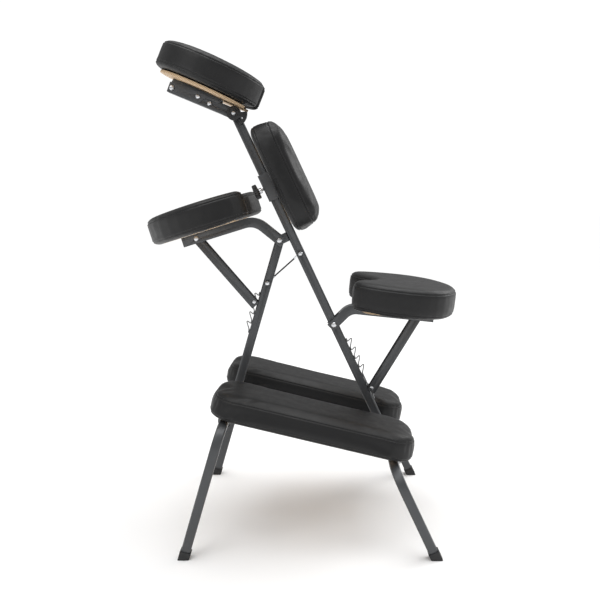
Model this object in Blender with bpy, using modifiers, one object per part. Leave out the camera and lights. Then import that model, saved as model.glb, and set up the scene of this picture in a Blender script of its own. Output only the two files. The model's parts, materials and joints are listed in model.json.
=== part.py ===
"""Kneeling massage chair: an A-frame of square steel tube that carries a chest pad, a face
cradle, an arm rest, a saddle seat and two knee pads.

Metres, +Z up. The person sits facing -X. The origin is on the floor, below the middle of the
chair's outer box. The chair is symmetric about the plane Y = 0.
"""
import math

import bmesh
import bpy
from mathutils import Matrix, Vector

# ---------------------------------------------------------------- driving dimensions
GAP = 0.0003                      # between solids that touch
TUBE = 0.022                      # square tube of the posts and legs
WALL = 0.0015
REAR_LEAN = math.radians(25.0)    # from the vertical, top towards -X
FRONT_LEAN = math.radians(16.5)   # from the vertical, top towards +X
REAR_FOOT_X = 0.3123
FRONT_FOOT_X = -0.2817
LEG_Y = 0.253                     # half the spread of the legs
LEG_BEND = 0.045
FOOT_SIZE = 0.026
FOOT_HEIGHT = 0.020

APEX_Z = 0.7307                   # bolt that joins the two frames
SEAT_PIVOT_Z = 0.5137
CRADLE_PIVOT_Z = 1.0427
REAR_BAR_Z = 0.2060               # crossbars under the knee pads
FRONT_BAR_Z = 0.3074
BRACE_FRONT_Z = 0.6215
BRACE_REAR_Z = 0.6972

RAIL_DEPTH = 0.024                # folded channels under the arm rest and the seat
RAIL_WIDTH = 0.033
STRUT_DEPTH = 0.022
STRUT_WIDTH = 0.027
STRUT_END = 0.005                 # beyond the bolt
STRUT_FOOT = 0.010                # beyond the pin
STRUT_SLOT = 0.020                # open end of the web, so that it clears the rack's wire
STRUT_SLOT_WIDTH = 0.009
STRUT_BEVEL = math.radians(40.0)  # corner cut off inside the rail, from the strut's length
SHEET = 0.002
BOLT_R = 0.0035
PIN_R = 0.003
HOLE_EXTRA = 0.0003

WIRE_R = 0.00175                  # racks that the struts hook into
TOOTH_PITCH = 0.0255
TOOTH_RISE = 0.0080
ARM_TOOTH_REACH = 0.0150
SEAT_TOOTH_REACH = 0.0170
VALLEY_FLAT = 0.0095
TIP_BEND = 0.0022
VALLEY_BEND = 0.0015
ARM_VALLEY = 0.6085               # up the front post, the first valley of the arm rack
SEAT_VALLEY = 0.5085              # up the rear post, the first valley of the seat rack
SEAT_LAST_GAP = 0.0425
PIN_UP = 0.0090                   # the resting pin, up from its valley and out from the post
PIN_OUT = 0.0080

BOARD = 0.009
BOARD_INSET = 0.026
SEAT_SLOPE = math.radians(6.0)    # down towards +X
ARM_SLOPE = math.radians(-17.2)
KNEE_SLOPE = math.radians(13.7)
CRADLE_SLOPE = math.radians(23.4)

SLEEVE_UP = 0.9545                # up the rear post, the middle of the chest pad's sleeve
SLEEVE_LENGTH = 0.070
CHEST_Z = 0.8690
CHEST_OFFSET = 0.0190             # from the post's centre line to the back of the chest pad
CABLE_Y = 0.0150
CABLE_R = 0.0020

BLACK = (0.012, 0.012, 0.013)
STEEL_GREY = (0.085, 0.088, 0.092)

PARTS = "kneeling_massage_chair"


# ---------------------------------------------------------------- scene and materials
def clear_scene():
    for old in list(bpy.data.objects):
        bpy.data.objects.remove(old, do_unlink=True)
    for name in (PARTS, "cutters", "pivots"):
        bpy.context.scene.collection.children.link(bpy.data.collections.new(name))


def material(name, colour, roughness, metallic=0.0):
    mat = bpy.data.materials.get(name)
    if mat is None:
        mat = bpy.data.materials.new(name)
        mat.use_nodes = True
        shader = mat.node_tree.nodes["Principled BSDF"]
        shader.inputs["Base Color"].default_value = (*colour, 1.0)
        shader.inputs["Roughness"].default_value = roughness
        shader.inputs["Metallic"].default_value = metallic
    return mat


def coated_steel():
    return material("coated_steel", STEEL_GREY, 0.45, 0.3)


def zinc():
    return material("zinc", (0.72, 0.73, 0.75), 0.3, 1.0)


def upholstery():
    return material("upholstery", BLACK, 0.5)


def plywood():
    return material("plywood", (0.62, 0.43, 0.25), 0.6)


def black_plastic():
    return material("black_plastic", (0.02, 0.02, 0.02), 0.4)


def rubber():
    return material("rubber", (0.03, 0.03, 0.03), 0.8)


def hook_tape():
    return material("hook_tape", (0.015, 0.015, 0.016), 0.95)


def cable_cover():
    return material("cable_cover", (0.02, 0.02, 0.02), 0.4)


# ---------------------------------------------------------------- places
def rear_x(z):
    """Centre line of the rear post and legs."""
    return REAR_FOOT_X - math.tan(REAR_LEAN) * z


def front_x(z):
    """Centre line of the front post and legs."""
    return FRONT_FOOT_X + math.tan(FRONT_LEAN) * z


def sloped(x, z, slope):
    """Local X runs down the slope, local Z stands up from it, local Y is the chair's Y."""
    return Matrix.Translation((x, 0.0, z)) @ Matrix.Rotation(slope, 4, "Y")


APEX = Vector((front_x(APEX_Z), 0.0, APEX_Z))
SEAT_PIVOT = Vector((rear_x(SEAT_PIVOT_Z), 0.0, SEAT_PIVOT_Z))
CRADLE_PIVOT = Vector((rear_x(CRADLE_PIVOT_Z), 0.0, CRADLE_PIVOT_Z))
REAR_BAR = Vector((rear_x(REAR_BAR_Z), 0.0, REAR_BAR_Z))
FRONT_BAR = Vector((front_x(FRONT_BAR_Z), 0.0, FRONT_BAR_Z))

REAR_FRAME = sloped(REAR_FOOT_X, 0.0, -REAR_LEAN)       # local Z runs up the post
FRONT_FRAME = sloped(FRONT_FOOT_X, 0.0, FRONT_LEAN)

ARM_BEND = Vector((-0.1275, 0.0, 0.7812))
STRUT_TOP = Vector((-0.2760, 0.0, 0.7352))
ARM_RAIL_END_X = -0.3112
SEAT_BEND = Vector((0.1142, 0.0, 0.5550))
SEAT_RAIL_END_X = 0.3298
SEAT_STRUT_TOP = SEAT_BEND + Vector((0.1759, 0.0, -0.1759 * math.tan(SEAT_SLOPE)))
TILT_PIVOT = Vector((-0.3251, 0.0, 1.1043))

RAIL_TOP = RAIL_DEPTH / 2 + GAP          # each pad frame lies on the pad's underside
ARM_PAD_FRAME = (sloped(STRUT_TOP.x, STRUT_TOP.z, ARM_SLOPE)
                 @ Matrix.Translation((0.0350, 0.0, RAIL_TOP)))
SEAT_PAD_FRAME = (sloped(SEAT_BEND.x, SEAT_BEND.z, SEAT_SLOPE)
                  @ Matrix.Translation((0.1300, 0.0, RAIL_TOP)))
KNEE_FRAME = sloped(0.0158, 0.2715, KNEE_SLOPE)
FACE_FRAME = sloped(-0.2472, 1.0956, CRADLE_SLOPE)
CHEST_FRAME = (sloped(rear_x(CHEST_Z), CHEST_Z, math.pi / 2 - REAR_LEAN)
               @ Matrix.Translation((0.0, 0.0, CHEST_OFFSET)))

XZ_PLANE = Matrix.Rotation(math.pi / 2, 4, "X")          # a flat outline turned upright
YZ_PLANE = Matrix(((0, 0, 1, 0), (1, 0, 0, 0), (0, 1, 0, 0), (0, 0, 0, 1)))
ALONG_Y = Matrix.Rotation(-math.pi / 2, 4, "X")          # a turned piece laid along Y


# ---------------------------------------------------------------- shape helpers
def new_object(name, mesh, matrix, collection=PARTS):
    obj = bpy.data.objects.new(name, mesh)
    obj.matrix_world = matrix
    bpy.data.collections[collection].objects.link(obj)
    return obj


def curve_to_mesh(curve, name, matrix, collection=PARTS):
    """Turn a curve into a mesh object whose seams and caps are welded."""
    source = bpy.data.objects.new(name + "_curve", curve)
    bpy.context.scene.collection.objects.link(source)
    graph = bpy.context.evaluated_depsgraph_get()
    mesh = bpy.data.meshes.new_from_object(source.evaluated_get(graph))
    bpy.data.objects.remove(source)
    mesh.name = name
    shape = bmesh.new()
    shape.from_mesh(mesh)
    bmesh.ops.remove_doubles(shape, verts=shape.verts, dist=0.00002)
    shape.to_mesh(mesh)
    shape.free()
    return new_object(name, mesh, matrix, collection)


def polyline(curve, points, cyclic=False):
    spline = curve.splines.new("POLY")
    spline.points.add(len(points) - 1)
    for place, point in zip(spline.points, points):
        place.co = (*point, 1.0)
    spline.use_cyclic_u = cyclic


def rounded(corners, steps=5, closed=True):
    """Corners as (x, y, radius): each corner is replaced by an arc of its radius."""
    result = []
    count = len(corners)
    for index, (x, y, radius) in enumerate(corners):
        here = Vector((x, y))
        if radius == 0 or (not closed and index in (0, count - 1)):
            result.append(here)
            continue
        to_last = (Vector(corners[index - 1][:2]) - here).normalized()
        to_next = (Vector(corners[(index + 1) % count][:2]) - here).normalized()
        half = to_last.angle(to_next) / 2
        centre = here + (to_last + to_next).normalized() * radius / math.sin(half)
        start = here + to_last * radius / math.tan(half) - centre
        end = here + to_next * radius / math.tan(half) - centre
        turn = start.angle_signed(end)
        for step in range(steps + 1):
            spin = Matrix.Rotation(-turn * step / steps, 2)
            result.append(centre + spin @ start)
    return result


def box_outline(width, height, corner):
    return [(-width / 2, -height / 2, corner), (width / 2, -height / 2, corner),
            (width / 2, height / 2, corner), (-width / 2, height / 2, corner)]


def profile_object(points, cyclic):
    curve = bpy.data.curves.new("profile", "CURVE")
    curve.dimensions = "2D"
    polyline(curve, [(x, y, 0.0) for x, y in points], cyclic)
    obj = bpy.data.objects.new("profile", curve)
    bpy.context.scene.collection.objects.link(obj)
    return obj


def swept_sheet(name, path, profile, cyclic, thickness, matrix):
    """A sheet-metal section carried along a flat path, with its thickness added by Solidify."""
    section = profile_object(profile, cyclic)
    curve = bpy.data.curves.new(name, "CURVE")
    curve.dimensions = "2D"
    curve.bevel_mode = "OBJECT"
    curve.bevel_object = section
    polyline(curve, [(x, y, 0.0) for x, y in path])
    obj = curve_to_mesh(curve, name, matrix)
    bpy.data.objects.remove(section)
    shell = obj.modifiers.new("sheet", "SOLIDIFY")
    shell.thickness = thickness
    shell.offset = 0.0
    shell.use_even_offset = True
    return obj


def square_tube(name, path, matrix, size=TUBE, wall=WALL):
    middle = size - wall
    section = rounded(box_outline(middle, middle, 0.0022), steps=1)
    return swept_sheet(name, path, section, True, wall, matrix)


def channel(name, path, width, depth, matrix, open_side):
    """A folded U section; open_side +1 or -1 says which side of the path is open."""
    half = (width - SHEET) / 2
    web = open_side * (depth - SHEET) / 2
    lip = -open_side * depth / 2
    section = [(lip, -half), (web, -half), (web, half), (lip, half)]
    return swept_sheet(name, path, section, False, SHEET, matrix)


def slab(name, outline, thickness, edge, matrix, edge_steps=2, collection=PARTS):
    """A flat outline given thickness upwards from local Z = 0, with rounded rims of radius edge."""
    curve = bpy.data.curves.new(name, "CURVE")
    curve.dimensions = "2D"
    curve.fill_mode = "BOTH"
    curve.extrude = thickness / 2 - edge
    curve.bevel_depth = edge
    curve.bevel_resolution = edge_steps
    curve.offset = -edge
    polyline(curve, [(x, y, 0.0) for x, y in outline], cyclic=True)
    lift = Matrix.Translation((0.0, 0.0, thickness / 2))
    return curve_to_mesh(curve, name, matrix @ lift, collection)


def upright_plate(name, outline, y_from, y_to, matrix=Matrix(), collection=PARTS):
    """An outline in the XZ plane that fills the stretch from y_from to y_to."""
    middle = Matrix.Translation((0.0, (y_from + y_to) / 2, 0.0))
    lowered = Matrix.Translation((0.0, 0.0, -(y_to - y_from) / 2))
    return slab(name, outline, y_to - y_from, 0.0, middle @ matrix @ XZ_PLANE @ lowered,
                collection=collection)


def turned(name, profile, matrix, steps=12):
    """Profile as (radius, height) from the top end to the bottom end, turned about local Z."""
    mesh = bpy.data.meshes.new(name)
    points = [(radius, 0.0, height) for radius, height in profile]
    mesh.from_pydata(points, [(i, i + 1) for i in range(len(points) - 1)], [])
    obj = new_object(name, mesh, matrix)
    screw = obj.modifiers.new("turn", "SCREW")
    screw.steps = steps
    screw.render_steps = steps
    screw.use_merge_vertices = True
    screw.merge_threshold = 0.00005
    return obj


def rod(name, points, radius, resolution=2):
    curve = bpy.data.curves.new(name, "CURVE")
    curve.dimensions = "3D"
    curve.bevel_depth = radius
    curve.bevel_resolution = resolution
    curve.use_fill_caps = True
    polyline(curve, points)
    return curve_to_mesh(curve, name, Matrix())


def hide_cutter(cutter):
    cutter.hide_render = True
    cutter.display_type = "WIRE"
    return cutter


def box_cutter(size, matrix):
    bpy.ops.mesh.primitive_cube_add(size=1.0)
    cutter = bpy.context.object
    cutter.name = "box_cutter"
    cutter.users_collection[0].objects.unlink(cutter)
    bpy.data.collections["cutters"].objects.link(cutter)
    cutter.data.transform(Matrix.Diagonal((*size, 1.0)))
    cutter.matrix_world = matrix
    return hide_cutter(cutter)


def drill_cutter(place, radius, direction=ALONG_Y, length=0.12):
    bpy.ops.mesh.primitive_cylinder_add(vertices=12, radius=radius, depth=length)
    cutter = bpy.context.object
    cutter.name = "drill_cutter"
    cutter.users_collection[0].objects.unlink(cutter)
    bpy.data.collections["cutters"].objects.link(cutter)
    cutter.matrix_world = Matrix.Translation(place) @ direction
    return hide_cutter(cutter)


def cut(obj, cutter):
    boolean = obj.modifiers.new("cut", "BOOLEAN")
    boolean.operation = "DIFFERENCE"
    boolean.solver = "EXACT"
    boolean.object = cutter
    return obj


def trim(obj, place, outward, size=0.12):
    """Cut away everything beyond a plane; outward points to the side that goes."""
    spin = Vector((0, 0, 1)).rotation_difference(Vector(outward)).to_matrix().to_4x4()
    block = Matrix.Translation(place) @ spin @ Matrix.Translation((0, 0, size / 2))
    return cut(obj, box_cutter((size, size, size), block))


def finish(obj, mat, pivot=None):
    """Give a piece its material and hang it on the empty at its joint."""
    obj.data.materials.clear()
    obj.data.materials.append(mat)
    obj.data.shade_smooth()
    obj.data.set_sharp_from_angle(angle=math.radians(35))
    if pivot is not None:
        obj.parent = pivot
        obj.matrix_parent_inverse = pivot.matrix_world.inverted()
    return obj


def pivot_at(name, place, parent=None):
    empty = bpy.data.objects.new(name, None)
    empty.location = place
    bpy.data.collections["pivots"].objects.link(empty)
    bpy.context.view_layer.update()
    if parent is not None:
        empty.parent = parent
        empty.matrix_parent_inverse = parent.matrix_world.inverted()
        bpy.context.view_layer.update()
    return empty


def bolt(name, place, half_length, pivot, shank=BOLT_R, head=0.0070, spacer=None):
    """Dome head on the -Y side, nut on the +Y side, both outside half_length."""
    profile = [(0.0, half_length + 0.0050), (shank, half_length + 0.0050),
               (shank, half_length + 0.0038), (head * 0.9, half_length + 0.0038),
               (head * 0.9, half_length + GAP), (shank, half_length + GAP)]
    if spacer:
        low, high = spacer
        profile += [(shank, high), (0.0075, high), (0.0075, low), (shank, low)]
        profile += [(shank, -low), (0.0075, -low), (0.0075, -high), (shank, -high)]
    profile += [(shank, -half_length - GAP), (head, -half_length - GAP),
                (head, -half_length - 0.0018), (head * 0.72, -half_length - 0.0038),
                (0.0, -half_length - 0.0044)]
    obj = turned(name, profile, Matrix.Translation(place) @ ALONG_Y)
    return finish(obj, zinc(), pivot)


def between(low, high, share):
    return low + (high - low) * share


# ---------------------------------------------------------------- leg frames
def leg_frame(name, frame, bar_up, pivot):
    """Two legs and the crossbar between them, bent from one tube in the plane of the frame."""
    corners = [(-LEG_Y, 0.010, 0.0), (-LEG_Y, bar_up, LEG_BEND),
               (LEG_Y, bar_up, LEG_BEND), (LEG_Y, 0.010, 0.0)]
    path = rounded(corners, steps=5, closed=False)
    return finish(square_tube(name, path, frame @ YZ_PLANE), coated_steel(), pivot)


def foot_cap(name, frame, y, pivot):
    """A rubber cap with a socket for the leg and a level underside."""
    outline = rounded(box_outline(FOOT_SIZE, FOOT_SIZE, 0.003), steps=2)
    low = -0.016
    cap = slab(name, outline, FOOT_HEIGHT - low, 0.0, frame @ Matrix.Translation((0, y, low)))
    socket = TUBE + 2 * GAP
    depth = 0.020
    seat = frame @ Matrix.Translation((0.0, y, 0.010 - GAP + depth / 2))
    cut(cap, box_cutter((socket, socket, depth), seat))
    trim(cap, frame @ Vector((0.0, y, 0.0)), (0, 0, -1))
    return finish(cap, rubber(), pivot)


def post(name, frame, low, high, pivot):
    return finish(square_tube(name, [(0.0, low), (0.0, high)], frame @ YZ_PLANE),
                  coated_steel(), pivot)


def bar_height(bar, lean):
    return bar.z / math.cos(lean)


def rear_frame(pivot):
    bar_up = bar_height(REAR_BAR, REAR_LEAN)
    leg_frame("rear_leg_frame", REAR_FRAME, bar_up, pivot)
    for side, y in (("left", -LEG_Y), ("right", LEG_Y)):
        foot_cap(f"rear_foot_{side}", REAR_FRAME, y, pivot)
    top = bar_height(CRADLE_PIVOT, REAR_LEAN) + 0.010
    rear = post("rear_post", REAR_FRAME, bar_up + TUBE / 2 + GAP, top, pivot)
    for z in (CRADLE_PIVOT_Z, SEAT_PIVOT_Z, BRACE_REAR_Z):
        cut(rear, drill_cutter((rear_x(z), 0.0, z), BOLT_R + HOLE_EXTRA))
    bolt("seat_pivot_bolt", SEAT_PIVOT, RAIL_WIDTH / 2, pivot, spacer=(0.0113, 0.0142))
    bolt("brace_bolt_rear", (rear_x(BRACE_REAR_Z), 0.0, BRACE_REAR_Z), 0.0150, pivot,
         head=0.0060)


def front_frame(pivot):
    bar_up = bar_height(FRONT_BAR, FRONT_LEAN)
    leg_frame("front_leg_frame", FRONT_FRAME, bar_up, pivot)
    for side, y in (("left", -LEG_Y), ("right", LEG_Y)):
        foot_cap(f"front_foot_{side}", FRONT_FRAME, y, pivot)
    top = bar_height(APEX, FRONT_LEAN) + 0.010
    front = post("front_post", FRONT_FRAME, bar_up + TUBE / 2 + GAP, top, pivot)
    for z in (APEX_Z, BRACE_FRONT_Z):
        cut(front, drill_cutter((front_x(z), 0.0, z), BOLT_R + HOLE_EXTRA))
    bolt("brace_bolt_front", (front_x(BRACE_FRONT_Z), 0.0, BRACE_FRONT_Z), 0.0150, pivot,
         head=0.0060)


def hinge_bracket(pivot):
    """Two ears on a web, welded to the rear post; the front post's top turns between them."""
    to_post = Vector((math.cos(REAR_LEAN), 0.0, math.sin(REAR_LEAN)))
    along = Vector((-math.sin(REAR_LEAN), 0.0, math.cos(REAR_LEAN)))
    reach = (rear_x(APEX_Z) - APEX.x) * math.cos(REAR_LEAN) - TUBE / 2 - GAP
    ear_r = 0.0115
    corners = [(APEX - to_post * ear_r - along * ear_r, ear_r * 0.95),
               (APEX + to_post * reach - along * ear_r, 0.0),
               (APEX + to_post * reach + along * ear_r, 0.0),
               (APEX - to_post * ear_r + along * ear_r, ear_r * 0.95)]
    outline = rounded([(point.x, point.z, radius) for point, radius in corners], steps=6)
    bracket = upright_plate("hinge_bracket", outline, -0.0139, 0.0139)
    slot = sloped(APEX.x, APEX.z, -REAR_LEAN) @ Matrix.Translation((reach - 0.003 - 0.03, 0, 0))
    cut(bracket, box_cutter((0.06, 0.0229, 0.06), slot))
    cut(bracket, drill_cutter(APEX, BOLT_R + HOLE_EXTRA))
    finish(bracket, coated_steel(), pivot)
    bolt("apex_bolt", APEX, RAIL_WIDTH / 2, pivot)


# ---------------------------------------------------------------- racks
def rack_profile(teeth, reach, last_gap=0.0):
    """(up, out, bend) corners of a toothed wire, from its top end down; out is the wire's centre."""
    near = WIRE_R + GAP
    corners = [(0.012, near, 0.0)]
    level = 0.0
    for tooth in range(teeth):
        if tooth > 0:
            level -= TOOTH_PITCH
            corners.append((level + VALLEY_FLAT, near, VALLEY_BEND))
        if tooth == teeth - 1:
            level -= last_gap
        corners += [(level, near, VALLEY_BEND), (level + TOOTH_RISE, near + reach, TIP_BEND)]
    return corners + [(level - 0.016, near, VALLEY_BEND), (level - 0.026, near, 0.0)]


def rack(name, frame, side, valley_up, teeth, reach, last_gap, pivot):
    """side is +1 on the post's +X face and -1 on its -X face."""
    face = side * TUBE / 2
    bent = rounded(rack_profile(teeth, reach, last_gap), steps=3, closed=False)
    places = [frame @ Vector((face + side * out, 0.0, valley_up + up)) for up, out in bent]
    return finish(rod(name, places, WIRE_R), zinc(), pivot)


def arm_pin_place():
    return FRONT_FRAME @ Vector((-TUBE / 2 - PIN_OUT, 0.0, ARM_VALLEY - TOOTH_PITCH + PIN_UP))


def seat_pin_place():
    up = SEAT_VALLEY - 4 * TOOTH_PITCH - SEAT_LAST_GAP + PIN_UP
    return REAR_FRAME @ Vector((TUBE / 2 + PIN_OUT, 0.0, up))


def racks(rear, front):
    rack("arm_rack", FRONT_FRAME, -1, ARM_VALLEY, 4, ARM_TOOTH_REACH, 0.0, front)
    rack("seat_rack", REAR_FRAME, 1, SEAT_VALLEY, 5, SEAT_TOOTH_REACH, SEAT_LAST_GAP, rear)


# ---------------------------------------------------------------- struts
def strut(name, top, pin, side, offset, pivot):
    """A channel open towards the post; its pin sits to one side of its middle line."""
    axis = (top - pin).normalized()
    towards_post = Vector((axis.z, 0.0, -axis.x)) * side
    foot = pin - towards_post * offset
    axis = (top - foot).normalized()
    low = foot - axis * STRUT_FOOT
    high = top + axis * STRUT_END
    path = [(low.x, low.z), (high.x, high.z)]
    body = channel(name, path, STRUT_WIDTH, STRUT_DEPTH, XZ_PLANE, -side)
    corner = (axis * math.cos(STRUT_BEVEL) + towards_post * math.sin(STRUT_BEVEL)).normalized()
    trim(body, top + corner * (RAIL_DEPTH / 2 - SHEET - 2 * GAP), corner)
    along = Matrix.Translation(low) @ Matrix.Rotation(math.atan2(-axis.z, axis.x), 4, "Y")
    cut(body, box_cutter((2 * STRUT_SLOT, STRUT_SLOT_WIDTH, 0.060), along))
    cut(body, drill_cutter(top, BOLT_R + HOLE_EXTRA))
    cut(body, drill_cutter(pin, PIN_R + HOLE_EXTRA))
    return finish(body, coated_steel(), pivot)


def cross_pin(name, place, pivot):
    head = 0.0045
    inner = STRUT_WIDTH / 2 + GAP
    profile = [(0.0, inner + 0.0015), (head, inner + 0.0015), (head, inner), (PIN_R, inner),
               (PIN_R, -inner), (head, -inner), (head, -inner - 0.0015),
               (0.0, -inner - 0.0015)]
    obj = turned(name, profile, Matrix.Translation(place) @ ALONG_Y)
    return finish(obj, zinc(), pivot)


# ---------------------------------------------------------------- pads
def pad_with_board(name, outline, board_outline, thickness, edge, frame, pivot):
    """Foam and cover wrapped round a plywood board that lies flush with the underside."""
    pad = slab(name + "_pad", outline, thickness, edge, frame, edge_steps=3)
    grown = Matrix.Translation((0, 0, -0.01))
    pocket = slab(name + "_pocket", widened(board_outline, GAP * 2), BOARD + GAP + 0.01, 0.0,
                  frame @ grown, collection="cutters")
    cut(pad, hide_cutter(pocket))
    finish(pad, upholstery(), pivot)
    finish(slab(name + "_board", board_outline, BOARD, 0.0, frame), plywood(), pivot)


def widened(outline, amount):
    """The outline moved outwards; it runs counter-clockwise."""
    result = []
    count = len(outline)
    for index, point in enumerate(outline):
        along = (outline[(index + 1) % count] - outline[index - 1]).normalized()
        result.append(point + Vector((along.y, -along.x)) * amount)
    return result


def smooth_outline(corners, steps=3):
    """A closed smooth curve (Catmull-Rom) through a few points, mirrored about y = 0."""
    points = [Vector(c) for c in corners]
    ring = points + [Vector((p.x, -p.y)) for p in reversed(points) if abs(p.y) > 1e-6]
    count = len(ring)
    result = []
    for i in range(count):
        a, b, c, d = (ring[(i + k) % count] for k in (-1, 0, 1, 2))
        for step in range(steps):
            t = step / steps
            result.append(0.5 * (2 * b + (c - a) * t + (2 * a - 5 * b + 4 * c - d) * t ** 2
                                 + (3 * b - a - 3 * c + d) * t ** 3))
    area = sum(result[i - 1].cross(result[i]) for i in range(len(result)))
    return result if area > 0 else result[::-1]


def arm_outline(inset=0.0):
    """Kidney shape: local +X is the chest side, hollowed in the middle."""
    front, lobe, hollow, half = 0.131, 0.131, 0.055, 0.255
    corners = [(-front + inset, 0.0), (-front * 0.93 + inset, 0.110),
               (-0.070 + inset * 0.7, 0.205 - inset * 0.7), (0.010, half - inset),
               (0.085, 0.240 - inset), (lobe - inset, 0.180 - inset * 0.2),
               (0.112 - inset, 0.115), (hollow - inset * 0.9, 0.055), (hollow - 0.012 - inset, 0.0)]
    return smooth_outline(corners)


def arm_rest(pivot, strut_pivot):
    slope = Vector((math.cos(ARM_SLOPE), 0.0, -math.sin(ARM_SLOPE)))
    end = STRUT_TOP + slope * (ARM_RAIL_END_X - STRUT_TOP.x) / slope.x
    down = (APEX - ARM_BEND).normalized()
    tip = APEX + down * 0.012
    path = rounded([(end.x, end.z, 0.0), (ARM_BEND.x, ARM_BEND.z, 0.050), (tip.x, tip.z, 0.0)],
                   steps=6, closed=False)
    rail = channel("arm_rail", path, RAIL_WIDTH, RAIL_DEPTH, XZ_PLANE, -1)
    clear = Matrix.Translation(APEX) @ Matrix.Rotation(math.atan2(-down.z, down.x), 4, "Y")
    cut(rail, box_cutter((0.050, RAIL_WIDTH - 2 * SHEET, 0.060), clear))
    cut(rail, drill_cutter(APEX, BOLT_R + HOLE_EXTRA))
    cut(rail, drill_cutter(STRUT_TOP, BOLT_R + HOLE_EXTRA))
    finish(rail, coated_steel(), pivot)
    bolt("arm_strut_bolt", STRUT_TOP, RAIL_WIDTH / 2, pivot, head=0.0065)
    pad_with_board("arm", arm_outline(), arm_outline(BOARD_INSET), 0.068, 0.018,
                   ARM_PAD_FRAME, pivot)
    pin = arm_pin_place()
    strut("arm_strut", STRUT_TOP, pin, 1, 0.0045, strut_pivot)
    cross_pin("arm_strut_pin", pin, strut_pivot)


def seat_outline(inset=0.0):
    """Saddle shape: local -X is the front, notched to straddle the rear post."""
    front, rear, half = 0.134, 0.137, 0.172
    corners = [(-0.075 + inset, 0.0), (-0.090 + inset, 0.030), (-front + inset, 0.085),
               (-0.122 + inset, 0.135), (-0.055, half - 0.005 - inset), (0.025, half - inset),
               (0.090 - inset * 0.6, 0.135 - inset * 0.7), (0.127 - inset, 0.065),
               (rear - inset, 0.0)]
    return smooth_outline(corners)


def seat(pivot, strut_pivot):
    slope = Vector((math.cos(SEAT_SLOPE), 0.0, -math.sin(SEAT_SLOPE)))
    end = SEAT_BEND + slope * (SEAT_RAIL_END_X - SEAT_BEND.x) / slope.x
    down = (SEAT_PIVOT - SEAT_BEND).normalized()
    tip = SEAT_PIVOT + down * 0.012
    path = rounded([(tip.x, tip.z, 0.0), (SEAT_BEND.x, SEAT_BEND.z, 0.040), (end.x, end.z, 0.0)],
                   steps=6, closed=False)
    rail = channel("seat_rail", path, RAIL_WIDTH, RAIL_DEPTH, XZ_PLANE, -1)
    clear = Matrix.Translation(SEAT_PIVOT) @ Matrix.Rotation(math.atan2(-down.z, down.x), 4, "Y")
    cut(rail, box_cutter((0.060, RAIL_WIDTH - 2 * SHEET, 0.060), clear))
    cut(rail, drill_cutter(SEAT_PIVOT, BOLT_R + HOLE_EXTRA))
    cut(rail, drill_cutter(SEAT_STRUT_TOP, BOLT_R + HOLE_EXTRA))
    finish(rail, coated_steel(), pivot)
    bolt("seat_strut_bolt", SEAT_STRUT_TOP, RAIL_WIDTH / 2, pivot, head=0.0065)
    pad_with_board("seat", seat_outline(), seat_outline(BOARD_INSET), 0.076, 0.020,
                   SEAT_PAD_FRAME, pivot)
    pin = seat_pin_place()
    strut("seat_strut", SEAT_STRUT_TOP, pin, -1, 0.0045, strut_pivot)
    cross_pin("seat_strut_pin", pin, strut_pivot)


# ---------------------------------------------------------------- knee pads
def knee_pads(pivots):
    length, width, thickness = 0.505, 0.182, 0.062
    middle = 0.141
    outline = rounded(box_outline(length, width, 0.062), steps=6)
    board = rounded(box_outline(length - 2 * BOARD_INSET, width - 2 * BOARD_INSET, 0.036), steps=4)
    for side, y, pivot in (("left", -middle, pivots[0]), ("right", middle, pivots[1])):
        frame = KNEE_FRAME @ Matrix.Translation((0.0, y, 0.0))
        pad_with_board(f"knee_{side}", outline, board, thickness, 0.018, frame, pivot)
        knee_saddle(f"knee_saddle_{side}", y, pivot)
        knee_hook(f"knee_hook_{side}", y, pivot)


def knee_saddle(name, y, pivot):
    """Strap that holds the front of a knee pad to the front crossbar and lets it turn there."""
    local = KNEE_FRAME.inverted() @ FRONT_BAR
    inner, sheet, wide = 0.0165, 0.002, 0.040
    top = -GAP - sheet / 2
    foot = local.x - inner - 0.018
    path = [(foot, top), (local.x - inner, top)]
    for step in range(9):
        turn = math.pi * step / 8
        path.append((local.x - inner * math.cos(turn), local.z - 0.004 - inner * math.sin(turn)))
    path += [(local.x + inner, top), (local.x + inner + 0.018, top)]
    saddle = swept_sheet(name, path, [(0.0, -wide / 2), (0.0, wide / 2)], False, sheet,
                         KNEE_FRAME @ Matrix.Translation((0.0, y, 0.0)) @ XZ_PLANE)
    return finish(saddle, coated_steel(), pivot)


def knee_hook(name, y, pivot):
    """Plate that rests on the rear crossbar, with a lip down its outer side."""
    local = KNEE_FRAME.inverted() @ REAR_BAR
    sheet, wide = 0.002, 0.040
    top = -GAP - sheet / 2
    lip = local.x + 0.0185
    path = rounded([(local.x - 0.035, top, 0.0), (lip, top, 0.004), (lip, top - 0.020, 0.0)],
                   steps=3, closed=False)
    hook = swept_sheet(name, path, [(0.0, -wide / 2), (0.0, wide / 2)], False, sheet,
                       KNEE_FRAME @ Matrix.Translation((0.0, y, 0.0)) @ XZ_PLANE)
    return finish(hook, coated_steel(), pivot)


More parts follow.
